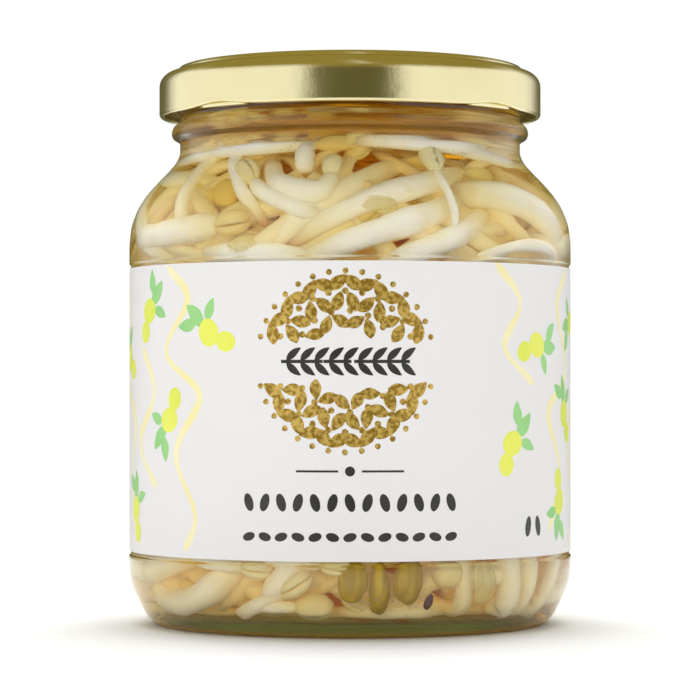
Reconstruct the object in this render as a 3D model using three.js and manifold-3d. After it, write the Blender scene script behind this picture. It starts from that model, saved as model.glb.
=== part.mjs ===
// A glass jar of bean sprouts in brine, with a paper label and a four-lug twist-off lid.
// Millimetres, +Z up. The origin is the middle of the base, on the surface that the jar stands on,
// and the front of the label faces -Y.
import * as THREE from "three";
import { mergeVertices } from "three/addons/utils/BufferGeometryUtils.js";
import Module from "manifold-3d";

const wasm = await Module();
wasm.setup();

// ---- driving dimensions -------------------------------------------------------------------
const BODY_R = 40; // outer radius of the bare glass above and below the label
const PANEL_R = 39.7; // the label's panel, set back from it
const WALL = 2.35; // glass wall of the panel
const NECK_R = 30.9; // outer radius of the finish that the lid goes over
const MOUTH_R = 28.0; // inner radius of the neck
const RIM_Z = 98.9; // top of the glass
const LABEL_LOW = 13.3;
const LABEL_HIGH = 64.0;
const LABEL_GAP = 8; // strip of bare glass between the label's two ends, at the back
const PAPER = 0.15;
const FILL_Z = 92.5; // surface of the brine
const GLASS_FLOOR = 3.2;
const WELL_WALL = 1.2; // from the glass to the sprouts' side of the brine that wets it
const WELL_FLOOR = 4.4;
const CORE_INSET = 7.5; // from the glass to the packed middle of the sprouts
const LID_R = 34.6; // outer radius of the lid's skirt
const LID_LOW = 91.4;
const LID_TOP = 100.6;
const SHEET = 0.5; // lid metal
const LUGS = 4;
const LUG_TURN = -42; // degrees from the front to the first lug
const LUG_HALF = 9; // degrees
const LUG_TOP = 92.3;
const LUG_TIP_R = 31.5;
const THREAD_RISE = 2.0; // how far a thread climbs over the lid's turn
const LID_TURN = 65; // degrees that free the lugs from the threads
const CLEAR = 0.3; // gap between pieces that touch
const AROUND = 32; // facets round the axis

const radians = THREE.MathUtils.degToRad;

// Where a point at a turn (radians from the front, towards the right), a radius and a height is.
function atWall(turn, radius, z) {
  return new THREE.Vector3(radius * Math.sin(turn), -radius * Math.cos(turn), z);
}

// ---- solids -------------------------------------------------------------------------------
function solidOf(geometry) {
  const bare = new THREE.BufferGeometry();
  bare.setAttribute("position", geometry.getAttribute("position"));
  if (geometry.index) bare.setIndex(geometry.index);
  const merged = mergeVertices(bare, 1e-4);
  return new wasm.Manifold(
    new wasm.Mesh({
      numProp: 3,
      vertProperties: merged.attributes.position.array,
      triVerts: new Uint32Array(merged.index.array),
    }),
  );
}

function geometryOf(solid) {
  const mesh = solid.getMesh();
  const geometry = new THREE.BufferGeometry();
  geometry.setAttribute("position", new THREE.BufferAttribute(mesh.vertProperties, 3));
  geometry.setIndex(new THREE.BufferAttribute(mesh.triVerts, 1));
  return geometry;
}

const unionOf = (solids) => solids.reduce((all, one) => all.add(one));

// The largest body of a solid, without the scraps that a cut leaves.
function largestOf(solid) {
  return solid.decompose().reduce((big, one) => (one.volume() > big.volume() ? one : big));
}

// A profile of [radius, height] pairs turned about the Z axis.
function turned(profile, around = AROUND) {
  const points = profile.map(([r, z]) => new THREE.Vector2(r, z));
  return new THREE.LatheGeometry(points, around).rotateX(Math.PI / 2);
}

// ---- glass --------------------------------------------------------------------------------
const OUTER_GLASS = [
  [0, 0.8], [27.5, 0.7], [30.2, 0.4], [31.4, 0], [34.2, 0], [35.5, 0.45], [36.5, 1.3], [37.4, 2.6],
  [38.35, 4.4], [39.1, 6.1], [39.7, 7.9], [BODY_R, 10.4], [BODY_R, LABEL_LOW - 1],
  [PANEL_R, LABEL_LOW - 0.5], [PANEL_R, LABEL_HIGH + 0.5], [BODY_R, LABEL_HIGH + 1], [BODY_R, 67.4],
  [39.7, 71.0], [38.6, 74.4], [37.1, 76.9], [34.9, 79.5], [32.7, 81.8], [31.4, 83.5], [30.85, 85.2],
  [30.85, 87.0], [31.8, 87.4], [32.35, 88.5], [32.2, 89.4], [31.4, 90.3], [NECK_R, 90.6], [NECK_R, 97.9],
  [30.5, RIM_Z], [28.9, RIM_Z],
];
const INNER_GLASS = [
  [MOUTH_R, 98.0], [MOUTH_R, 85.2], [28.7, 83.0], [30.6, 80.6], [33.0, 78.0], [35.0, 75.3], [36.5, 72.0],
  [37.2, 69.0], [PANEL_R - WALL, 66], [PANEL_R - WALL, 12], [37.0, 8.4], [36.2, 5.9], [34.6, 4.2],
  [32, GLASS_FLOOR], [0, GLASS_FLOOR],
];

// Inner radius of the glass at a height.
function wallRadius(z) {
  const wall = INNER_GLASS.slice(0, -2);
  for (let i = 1; i < wall.length; i++) {
    const [r1, z1] = wall[i - 1];
    const [r2, z2] = wall[i];
    if (z >= z2) return r2 + ((r1 - r2) * (Math.min(z, z1) - z2)) / (z1 - z2);
  }
  return wall[wall.length - 1][0];
}

// A helical ridge on the neck, on whose underside one lug of the lid slides.
function threadRidge(turn) {
  const below = LUG_TOP + 2 * CLEAR;
  const [root, crest, thick] = [NECK_R - 0.8, 32.6, 1.6];
  const [first, last, steps] = [-LUG_HALF, 50, 5];
  const corners = [];
  for (let i = 0; i <= steps; i++) {
    const angle = first + ((last - first) * i) / steps;
    const z = below + (THREAD_RISE * angle) / LID_TURN;
    for (const [r, up] of [[root, 0], [crest, 0.3], [crest, thick - 0.5], [root, thick]])
      corners.push(...atWall(radians(turn + angle), r, z + up).toArray());
  }
  const faces = [0, 1, 2, 0, 2, 3];
  for (let i = 0; i < steps; i++)
    for (let k = 0; k < 4; k++) {
      const [a, b] = [4 * i + k, 4 * i + ((k + 1) % 4)];
      faces.push(a, a + 4, b, b, a + 4, b + 4);
    }
  const end = 4 * steps;
  faces.push(end, end + 2, end + 1, end, end + 3, end + 2);
  const geometry = new THREE.BufferGeometry();
  geometry.setAttribute("position", new THREE.Float32BufferAttribute(corners, 3));
  geometry.setIndex(faces);
  return solidOf(geometry);
}

const lugTurns = Array.from({ length: LUGS }, (_, k) => LUG_TURN + (360 * k) / LUGS);

function glassJar() {
  const shell = solidOf(turned([...OUTER_GLASS, ...INNER_GLASS]));
  return geometryOf(unionOf([shell, ...lugTurns.map(threadRidge)]));
}

// ---- lid ----------------------------------------------------------------------------------
function lidShell() {
  const inside = LID_R - SHEET;
  const profile = [
    [0, 99.35], [11.6, 99.35], [12.6, 99.75], [27.4, 99.75], [28.2, 100.5], [29.0, LID_TOP], [30.6, LID_TOP],
    [31.2, 100.25], [31.5, 99.7], [32.6, 99.45], [33.5, 99.0], [34.3, 98.1], [LID_R, 97.0], [LID_R, 92.0],
    [34.3, 91.5], [33.8, LID_LOW], [33.3, 91.8], [33.3, 92.3], [inside, 92.7], [inside, 96.9], [33.8, 97.8],
    [33.2, 98.5], [32.4, 98.95], [31.1, 99.3], [30.85, 99.9], [30.4, 100.2], [29.2, 100.2], [28.6, 99.9],
    [27.7, 99.25], [12.8, 99.25], [11.8, 98.85], [0, 98.85],
  ];
  const lug = (turn) => {
    const outline = new THREE.Shape();
    const start = radians(turn - LUG_HALF - 90);
    const end = radians(turn + LUG_HALF - 90);
    outline.absarc(0, 0, LID_R - 0.9, start, end, false);
    outline.absarc(0, 0, LUG_TIP_R, end, start, true);
    outline.closePath();
    const bar = new THREE.ExtrudeGeometry(outline, {
      depth: LUG_TOP - LID_LOW - 0.1,
      bevelEnabled: false,
      curveSegments: 3,
    });
    return solidOf(bar.translate(0, 0, LID_LOW + 0.1));
  };
  return geometryOf(unionOf([solidOf(turned(profile.reverse())), ...lugTurns.map(lug)]));
}

// The soft ring in the channel under the lid's edge, which presses on the rim.
function sealingRing() {
  const [low, high] = [RIM_Z + CLEAR, 99.8];
  return turned([[28.9, low], [30.5, low], [30.5, high], [28.9, high], [28.9, low]]);
}

// ---- label --------------------------------------------------------------------------------
function label() {
  const inner = PANEL_R + PAPER;
  const outer = inner + PAPER;
  const [low, high] = [LABEL_LOW, LABEL_HIGH];
  const sleeve = turned([[inner, low], [outer, low], [outer, high], [inner, high], [inner, low]]);
  const gap = new THREE.BoxGeometry(LABEL_GAP, 10, high - low + 2);
  return geometryOf(solidOf(sleeve).subtract(solidOf(gap.translate(0, inner, (low + high) / 2))));
}

// ---- sprouts ------------------------------------------------------------------------------
// Random numbers from 0 to 1 that are the same on each run.
function randomStream(seed) {
  let state = seed;
  return () => {
    state = (Math.imul(state, 1664525) + 1013904223) >>> 0;
    return state / 4294967296;
  };
}

// A sprout lies against the glass with its two ends dipping inwards. Its middle has a turn (degrees from
// the front) and a height. It runs for a length, from root to head, at a slope there (degrees above level,
// towards the right) that changes by the arch over the length and by the hook just under the head. Next
// come its thickest radius, how deep its root and its head dip, how deep all of it lies, and the head's roll.
const SPROUT_KEYS = "turn z length slope arch hook radius root head deep roll".split(" ");
const FRONT_SPROUTS = [
  [10, 74.6, 43, 15, -38, 0, 1.95, 4, 5, 0.4, 0],
  [62, 73.2, 42, -16, -64, 0, 2.3, 4, 4, 0, 0],
  [7, 68.9, 40, 17, -16, 0, 2.0, 4, 4, 0, 0],
  [23, 66.8, 32, 20, -12, 0, 1.9, 4, 5, 0.3, 0],
  [-10, 72.6, 42, 26, -40, 0, 2.0, 4, 5, 2.6, 0],
  [-18, 75.6, 18, -14, 60, 70, 1.9, 4, -0.5, 0.4, 10],
  [-38, 77.8, 22, 138, 14, 0, 1.3, 4, 4, 0.6, 0],
  [-18.5, 73.4, 17, 162, -20, -10, 1.4, 4, 0.2, 0.4, 30],
  [29, 73.8, 11, 98, 10, -20, 0.8, 2, 0.4, 0, 70],
  [57, 67.4, 38, 0, -70, 0, 1.2, 2, 4, 0, 0],
  [-66, 69.2, 34, 2, 6, 0, 2.1, 5, 1.2, 0, 80],
  [-27, 65.6, 32, -4, -14, 0, 1.8, 4, 4, 0.2, 0],
  [-60, 76.2, 26, 104, -70, 0, 1.6, 4, 3, 0.4, 0],
  [-80, 71.0, 34, -34, 60, 0, 1.8, 4, 4, 0.8, 0],
  [-44, 83.2, 30, 3, 0, 0, 1.9, 3, 4, 0.2, 0],
  [-74, 81.4, 26, 8, 0, 0, 1.8, 3, 4, 0.4, 0],
  [-16, 81.4, 9, 100, 0, 0, 1.7, 3, 4, 0.4, 0],
  [34, 84.2, 36, -3, 0, 0, 2.0, 3, 4, 0.2, 0],
  [58, 81.6, 28, -12, 0, 0, 1.9, 3, 4, 0.4, 0],
  [-50, 6.4, 34, 12, 90, 0, 2.3, 3, 4, 0, 0],
  [-64, 11.0, 28, 10, 30, 0, 2.1, 3, 4, 0.8, 0],
  [-19, 10.0, 13, 40, -10, 0, 1.9, 2, 4, 0.3, 0],
  [-29, 5.4, 15, 20, 10, 0, 1.3, 6, 0.5, 0.2, 70],
  [-24, 5.9, 12, 0, 0, 0, 1.2, 6, 0.6, 0.4, 20],
  [-41, 12.6, 15, -6, 0, 0, 1.4, 6, 0.6, 0.2, 80],
  [-18, 13.2, 14, -4, 0, 0, 1.3, 6, 0.6, 0.4, 60],
  [14, 5.2, 26, 2, 0, 0, 1.6, 3, 4, 2.0, 0],
  [34, 9.0, 20, 98, 20, 0, 1.6, 4, 4, 2.2, 0],
  [45, 10.4, 16, 178, 0, 0, 1.4, 6, 0.6, 1.6, 20],
  [49, 9.2, 26, 96, 50, 0, 2.2, 4, 4, 0, 0],
  [57, 9.4, 26, 84, 50, 0, 1.9, 4, 4, 0.6, 0],
  [70, 10, 28, 60, 50, 0, 1.9, 4, 4, 0.2, 0],
];

// Bands of sprouts that the front list leaves to a rule: how many, from which turn to which, their lowest
// and highest middle, steepest slope, and shallowest and deepest lie. Each band spreads its sprouts evenly.
const BANDS = [
  { count: 12, turns: [92, 280], heights: [68, 82], steep: 35, lie: [0, 1] },
  { count: 9, turns: [84, 280], heights: [7, 12], steep: 12, lie: [0, 0.5] },
  { count: 12, turns: [0, 360], heights: [19, 60], steep: 40, lie: [0, 1] },
  { count: 5, turns: [0, 360], heights: [84, 86], steep: 5, lie: [9, 18] },
];
const GOLDEN = 0.618034; // the share of a band that spreads its sprouts evenly, one after the other
const SEED = 7;

function bandSprouts() {
  const random = randomStream(SEED);
  const between = (low, high) => low + (high - low) * random();
  return BANDS.flatMap(({ count, turns, heights, steep, lie }) =>
    Array.from({ length: count }, (_, k) => {
      const turn = turns[0] + (turns[1] - turns[0]) * ((k * GOLDEN) % 1);
      const z = heights[0] + ((heights[1] - heights[0]) * (k + random())) / count;
      const shape = [between(38, 50), between(-steep, steep), between(-45, 45), between(-30, 30)];
      const ends = [between(1.7, 2.0), 5, between(2.4, 5)];
      return [turn, z, ...shape, ...ends, between(...lie), between(0, 180)];
    }),
  );
}

const ease = (t) => THREE.MathUtils.smoothstep(t, 0, 1);
const FLAT = Math.cos(Math.PI / AROUND); // share of a round wall's radius that its flat facets leave
const STATIONS = 16;

// The stem's middle line at its stations, with the direction away from the axis of the jar.
function sproutPath({ turn, z, length, slope, arch, hook, radius, root, head, deep }) {
  const step = length / STATIONS;
  const angle = (u) => radians(slope + arch * (u - 0.5) + hook * ease((u - 0.75) / 0.25));
  const stations = [];
  for (const sign of [-1, 1]) {
    let [a, height] = [radians(turn), z];
    for (let i = 0; i <= STATIONS / 2; i++) {
      const u = 0.5 + (sign * i) / STATIONS;
      if (i > 0) {
        const middle = angle(u - (sign * 0.5) / STATIONS);
        height += sign * Math.sin(middle) * step;
        height = THREE.MathUtils.clamp(height, WELL_FLOOR + CLEAR + radius, FILL_Z - radius);
        a += (sign * Math.cos(middle) * step) / wallRadius(height);
      }
      const tilt = (wallRadius(height - 1) - wallRadius(height + 1)) / 2;
      const inset = (WELL_WALL + CLEAR + radius + deep) * Math.hypot(1, tilt) + root * ease(1 - u / 0.4);
      const away = wallRadius(height) * FLAT - inset - head * ease((u - 0.6) / 0.4);
      stations[STATIONS / 2 + sign * i] = atWall(a, away, height);
    }
  }
  return stations;
}

// Thickness at the stations, as a share of a sprout's thickest radius: the root's tail, the stem, its neck.
const STEM = [[0, 0], [0.8, 0.7], [6, 0.96], [13, 0.95], [16, 0.6], [16.5, 0]];
const SUNK_HEAD = 4; // a head that dips this deep is out of sight in the bunch
const SEED_LEAF = { long: 3.0, wide: 2.0, thick: 1.15, apart: 0.95, splay: 10 };

function sprout(values, sides) {
  const shape = Object.fromEntries(SPROUT_KEYS.map((key, i) => [key, values[i]]));
  const halves = shape.head < SUNK_HEAD ? [-1, 1] : [];
  const stations = sproutPath(shape);
  const pointAt = (i) => {
    const k = THREE.MathUtils.clamp(Math.floor(i), 0, STATIONS - 1);
    return stations[k].clone().lerp(stations[k + 1], i - k);
  };
  const frameAt = (i) => {
    const point = pointAt(i);
    const along = pointAt(Math.min(i + 1, STATIONS)).sub(pointAt(Math.max(i - 1, 0))).normalize();
    const out = new THREE.Vector3(point.x, point.y, 0).normalize();
    out.addScaledVector(along, -out.dot(along)).normalize();
    return { point, along, out, side: new THREE.Vector3().crossVectors(out, along) };
  };
  const profile = STEM.map(([i, r]) => new THREE.Vector2(r * shape.radius, i));
  const stem = new THREE.LatheGeometry(profile, sides, Math.PI / 2);
  const position = stem.getAttribute("position");
  for (let k = 0; k < position.count; k++) {
    const { point, out, side } = frameAt(position.getY(k));
    point.addScaledVector(out, position.getX(k)).addScaledVector(side, position.getZ(k));
    position.setXYZ(k, point.x, point.y, point.z);
  }
  const { point, along, out, side } = frameAt(STATIONS);
  const roll = radians(shape.roll);
  const across = out.clone().multiplyScalar(Math.cos(roll)).addScaledVector(side, Math.sin(roll));
  const { long, wide, thick, apart, splay } = SEED_LEAF;
  const leaves = halves.map((half) => {
    const leaf = new THREE.SphereGeometry(1, 5, 3);
    leaf.rotateX(Math.PI / 2).scale(wide, thick, long);
    leaf.translate(0, half * apart, long * 0.8).rotateX(-half * radians(splay));
    const third = new THREE.Vector3().crossVectors(across, along);
    leaf.applyMatrix4(new THREE.Matrix4().makeBasis(third, across, along).setPosition(point));
    return solidOf(leaf);
  });
  return unionOf([solidOf(stem), ...leaves]);
}

// The packed middle of the sprouts, which the ones against the glass stand out of.
function core() {
  const side = [12, 18, 62, 70, 76, 82].map((z) => [wallRadius(z) - CORE_INSET, z]);
  return solidOf(turned([[0, 7], [24, 7], ...side, [0, 86]], AROUND / 2));
}

function sproutBunch() {
  const front = FRONT_SPROUTS.map((values) => sprout(values, 5));
  const rest = bandSprouts().map((values) => sprout(values, 4));
  const others = [solidOf(brine(CLEAR)), ...SEED_COATS.map((coat) => solidOf(seedCoat(coat, CLEAR)))];
  return geometryOf(largestOf(unionOf([core(), ...front, ...rest]).subtract(unionOf(others))));
}

// Empty skins of the green seeds, which have slipped off and lie against the glass: turn and height.
const SEED_COATS = [[0.5, 10.2], [8, 9.8], [16, 10.4]];
const COAT = { wide: 2.1, thick: 0.45, tall: 3.6 };

function seedCoat([turn, z], extra = 0) {
  const lens = new THREE.SphereGeometry(1, 8, 4).rotateX(Math.PI / 2);
  lens.scale(COAT.wide + extra, COAT.thick + extra, COAT.tall + extra).rotateZ(radians(turn));
  const away = wallRadius(z - COAT.tall) * FLAT - WELL_WALL - CLEAR - COAT.thick;
  return lens.translate(...atWall(radians(turn), away, z));
}

// ---- brine --------------------------------------------------------------------------------
// The liquid fills the glass up to its surface, with one plain well in it that the sprouts stand in. The
// gap narrows the well.
function brine(gap = 0) {
  const wall = INNER_GLASS.filter(([, z]) => z < FILL_Z);
  const outer = wall.map(([r, z]) => [Math.max(r - CLEAR, 0), Math.max(z, GLASS_FLOOR + CLEAR)]);
  const side = [8, 12, 69, 78, 85.2, FILL_Z].map((z) => [wallRadius(z) - WELL_WALL - gap, z]);
  const floor = WELL_FLOOR + gap;
  const well = [[0, floor], [32.5 - gap, floor], ...side];
  return turned([...well, [MOUTH_R - CLEAR, FILL_Z], ...outer].reverse());
}

// ---- assembly -----------------------------------------------------------------------------
const jar = new THREE.Group();
function place(name, geometry, colour, roughness, metalness = 0) {
  const material = new THREE.MeshStandardMaterial({ color: colour, roughness, metalness });
  const mesh = new THREE.Mesh(geometry, material);
  mesh.name = name;
  jar.add(mesh);
}

place("glass_jar", glassJar(), "#dfe8dc", 0.05);
place("paper_label", label(), "#eeebec", 0.6);
place("lid_cap", lidShell(), "#d8cf9a", 0.3, 1);
place("lid_sealing_ring", sealingRing(), "#e9e4d6", 0.5);
place("brine", brine(), "#c8964a", 0.05);
place("sprout_bunch", sproutBunch(), "#e6dec3", 0.4);
SEED_COATS.forEach((coat, k) => place(`seed_coat_${k + 1}`, seedCoat(coat), "#8a8a2c", 0.4));

export default jar;
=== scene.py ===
"""A glass jar of bean sprouts in brine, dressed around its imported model.

Lengths are in millimetres until a mesh is made, and +Z is up. The front of the label faces -Y, and a
turn is an angle about the jar's axis from there, towards the right.
"""
import math

import bpy
import mathutils
import numpy as np
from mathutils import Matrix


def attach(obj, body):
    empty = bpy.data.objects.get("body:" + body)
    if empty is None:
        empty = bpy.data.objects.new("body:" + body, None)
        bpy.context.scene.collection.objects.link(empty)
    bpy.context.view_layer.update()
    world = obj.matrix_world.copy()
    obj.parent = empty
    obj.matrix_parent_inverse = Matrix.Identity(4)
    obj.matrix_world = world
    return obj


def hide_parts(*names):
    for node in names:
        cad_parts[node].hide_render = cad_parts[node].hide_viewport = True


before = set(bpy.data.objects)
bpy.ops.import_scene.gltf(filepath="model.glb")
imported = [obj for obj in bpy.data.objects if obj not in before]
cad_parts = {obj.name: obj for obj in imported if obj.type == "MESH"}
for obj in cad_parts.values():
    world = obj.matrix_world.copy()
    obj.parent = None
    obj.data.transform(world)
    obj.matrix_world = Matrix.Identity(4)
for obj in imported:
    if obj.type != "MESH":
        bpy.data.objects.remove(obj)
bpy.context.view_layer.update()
MM = 0.001

# ---- sizes --------------------------------------------------------------------------------
BODY_R = 40.0
PANEL_R = 39.7
WALL = 2.35
NECK_R = 30.9
MOUTH_R = 28.0
RIM_Z = 98.9
LABEL_LOW, LABEL_HIGH = 13.3, 64.0
LABEL_R = 39.94
LABEL_GAP = 8.0
PAPER = 0.12
FILL_Z = 92.5
GLASS_FLOOR = 3.2
LID_R, LID_LOW, LID_TOP = 34.6, 91.4, 100.6
SKIRT_TOP = 97.0
SHEET = 0.22
LUG_TURNS = [-42, 48, 138, 228]
LUG_HALF, LUG_TOP, LUG_TIP_R, LUG_ROOT_R = 9, 92.3, 31.5, 33.6
THREAD_RISE, LID_TURN = 2.0, 65
AROUND = 256

OUTER_GLASS = [
    (0, 0.8), (14, 0.78), (27.5, 0.7), (30.2, 0.4), (31.4, 0), (34.2, 0), (35.5, 0.45), (36.5, 1.3),
    (37.4, 2.6), (38.35, 4.4), (39.1, 6.1), (39.7, 7.9), (BODY_R, 10.4), (BODY_R, LABEL_LOW - 1),
    (PANEL_R, LABEL_LOW - 0.5), (PANEL_R, LABEL_HIGH + 0.5), (BODY_R, LABEL_HIGH + 1), (BODY_R, 67.4),
    (39.7, 71.0), (38.6, 74.4), (37.1, 76.9), (34.9, 79.5), (32.7, 81.8), (31.4, 83.5), (30.85, 85.2),
    (30.85, 86.7), (31.4, 87.25), (32.1, 87.7), (32.35, 88.5), (32.1, 89.5), (31.4, 90.2), (NECK_R, 90.8),
    (NECK_R, 97.7), (30.6, 98.6), (29.8, RIM_Z), (28.7, RIM_Z),
]
INNER_GLASS = [
    (MOUTH_R, 98.1), (MOUTH_R, 85.2), (28.7, 83.0), (30.6, 80.6), (33.0, 78.0), (35.0, 75.3), (36.5, 72.0),
    (37.2, 69.0), (PANEL_R - WALL, 66), (PANEL_R - WALL, 12), (37.0, 8.4), (36.2, 5.9), (34.6, 4.2),
    (32, GLASS_FLOOR), (15, GLASS_FLOOR), (0, GLASS_FLOOR),
]


# ---- surfaces -----------------------------------------------------------------------------
def ease(t):
    """Goes from 0 to 1 as t does, level at both ends."""
    t = np.clip(t, 0, 1)
    return t * t * (3 - 2 * t)


def smooth_line(points, per=6):
    """A smooth line through [radius, height] pairs that never swings past them.

    Each pair of neighbours is joined by a cubic in the length along the line. Its slope at a point is the
    harmonic mean of the two slopes beside it, or level where they differ in sign.
    """
    line = np.array(points, float)
    length = np.hypot(*np.diff(line, axis=0).T)
    slope = np.diff(line, axis=0) / length[:, None]
    before, after = slope[:-1], slope[1:]
    same = before * after > 0
    mean = np.where(same, 2 * before * after / np.where(same, before + after, 1), 0)
    tangent = np.vstack([slope[:1], mean, slope[-1:]])
    t = (np.arange(per) / per)[None, :, None]
    a, b = line[:-1, None], line[1:, None]
    ta, tb = (tangent[:-1] * length[:, None])[:, None], (tangent[1:] * length[:, None])[:, None]
    curve = (2 * t**3 - 3 * t**2 + 1) * a + (t**3 - 2 * t**2 + t) * ta
    curve = curve + (3 * t**2 - 2 * t**3) * b + (t**3 - t**2) * tb
    return np.vstack([curve.reshape(-1, 2), line[-1:]])


def full_turn(count):
    """Angles in radians, evenly once round."""
    return np.linspace(0, 2 * np.pi, count, endpoint=False)


def at_turn(turn, radius, z):
    """The points at turns in radians, radii and heights."""
    turn, radius, z = np.broadcast_arrays(turn, radius, z)
    return np.stack([radius * np.sin(turn), -radius * np.cos(turn), z], -1)


def grid_faces(rows, columns, closed=True):
    """The quads of a grid of points, row after row, whose columns may close on the first."""
    i, j = np.meshgrid(np.arange(rows - 1), np.arange(columns if closed else columns - 1), indexing="ij")
    k = (j + 1) % columns
    quads = np.stack([i * columns + j, i * columns + k, (i + 1) * columns + k, (i + 1) * columns + j], -1)
    return quads.reshape(-1, 4)


def mesh_piece(name, points, faces, uv=None, slots=None):
    """An object at the origin from points in millimetres and arrays of faces, a row of corners a face."""
    places = (np.asarray(points, float).reshape(-1, 3) * MM).astype(np.float32)
    corners = np.concatenate([part.ravel() for part in faces]).astype(np.int32)
    sizes = np.concatenate([np.full(len(part), part.shape[1], np.int32) for part in faces])
    mesh = bpy.data.meshes.new(name)
    mesh.vertices.add(len(places))
    mesh.vertices.foreach_set("co", places.ravel())
    mesh.loops.add(len(corners))
    mesh.loops.foreach_set("vertex_index", corners)
    mesh.polygons.add(len(sizes))
    mesh.polygons.foreach_set("loop_start", (np.cumsum(sizes) - sizes).astype(np.int32))
    mesh.polygons.foreach_set("use_smooth", np.ones(len(sizes), bool))
    if slots is not None:
        mesh.polygons.foreach_set("material_index", np.asarray(slots, np.int32))
    if uv is not None:
        layer = mesh.uv_layers.new(name="along")
        layer.data.foreach_set("uv", np.asarray(uv, np.float32).reshape(-1, 2)[corners].ravel())
    mesh.update(calc_edges=True)
    piece = bpy.data.objects.new(name, mesh)
    bpy.context.scene.collection.objects.link(piece)
    return piece


def turned(line, around=AROUND, radius_change=None):
    """Points and face arrays of a line of [radius, height] pairs turned about the axis, its poles closed.

    The radius change is a function of the turn and the height.
    """
    line = np.asarray(line, float)
    poles = [line[0, 0] == 0, line[-1, 0] == 0]
    body = line[int(poles[0]):len(line) - int(poles[1])]
    turn = full_turn(around)[None, :]
    radius, z = body[:, :1], body[:, 1:]
    if radius_change is not None:
        radius = radius + radius_change(turn, z)
    points = at_turn(turn, radius, z).reshape(-1, 3)
    faces = [grid_faces(len(body), around)]
    last = (len(body) - 1) * around
    for pole, start, end in ((0, 0, line[0]), (1, last, line[-1])):
        if poles[pole]:
            ring = start + np.arange(around)
            pairs = (np.roll(ring, -1), ring) if pole == 0 else (ring, np.roll(ring, -1))
            faces.append(np.stack([*pairs, np.full(around, len(points))], -1))
            points = np.vstack([points, [[0, 0, end[1]]]])
    return points, faces


# ---- shader nodes -------------------------------------------------------------------------
class Value:
    """A node's output that sums and products can be written with."""

    def __init__(self, paint, socket):
        self.paint, self.socket = paint, socket

    def __add__(self, other):
        return self.paint.math("ADD", self, other)

    def __sub__(self, other):
        return self.paint.math("SUBTRACT", self, other)

    def __rsub__(self, other):
        return self.paint.math("SUBTRACT", other, self)

    def __mul__(self, other):
        return self.paint.math("MULTIPLY", self, other)

    __radd__ = __add__
    __rmul__ = __mul__


class Paint:
    """A tree of shader nodes, with one method that adds any node."""

    def __init__(self, owner):
        owner.use_nodes = True
        self.owner, self.tree = owner, owner.node_tree
        self.tree.nodes.clear()

    def node(self, kind, settings=None, sockets=None, out=0):
        node = self.tree.nodes.new("ShaderNode" + kind)
        for key, value in (settings or {}).items():
            setattr(node, key, value)
        for key, value in (sockets or {}).items():
            if isinstance(value, Value):
                self.tree.links.new(value.socket, node.inputs[key])
            else:
                node.inputs[key].default_value = value
        return Value(self, node.outputs[out]) if len(node.outputs) else node

    def math(self, operation, a, b=0.0):
        return self.node("Math", {"operation": operation}, {0: a, 1: b})

    def between(self, value, low, high):
        """0 below low, 1 above high, and eased from one to the other."""
        ends = {"Value": value, "From Min": low, "From Max": high}
        return self.node("MapRange", {"interpolation_type": "SMOOTHSTEP"}, ends)

    def mix(self, factor, a, b):
        """Colour a where the factor is 0 and b where it is 1."""
        sockets = {0: factor, 6: a, 7: b}
        return self.node("Mix", {"data_type": "RGBA"}, sockets, out=2)

    def place(self, stretch=(1, 1, 1)):
        """The place on the object in metres, stretched."""
        here = self.node("TexCoord", out=3)
        return self.node("VectorMath", {"operation": "MULTIPLY"}, {0: here, 1: stretch})

    def noise(self, scale, detail=2.0, at=None, rough=0.5):
        sockets = {"Vector": at or self.place(), "Scale": scale, "Detail": detail, "Roughness": rough}
        return self.node("TexNoise", {"noise_dimensions": "3D"}, sockets)

    def bump(self, height, distance, strength=1.0):
        return self.node("Bump", {}, {"Height": height, "Distance": distance, "Strength": strength})

    def plastic(self, sockets):
        return self.node("BsdfPrincipled", {}, sockets)

    def done(self, surface, volume=None):
        sockets = {"Surface": surface} | ({"Volume": volume} if volume else {})
        self.node("OutputMaterial", {}, sockets)
        return self.owner


def paint(name):
    return Paint(bpy.data.materials.new(name))


def dress(piece, slot, body, *materials):
    """Gives a piece its materials and lets it ride on a body. The slot is not used."""
    for material in materials:
        piece.data.materials.append(material)
    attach(piece, body)
    return piece


# ---- glass --------------------------------------------------------------------------------
GLASS_INDEX, BRINE_INDEX = 1.52, 1.333


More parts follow.
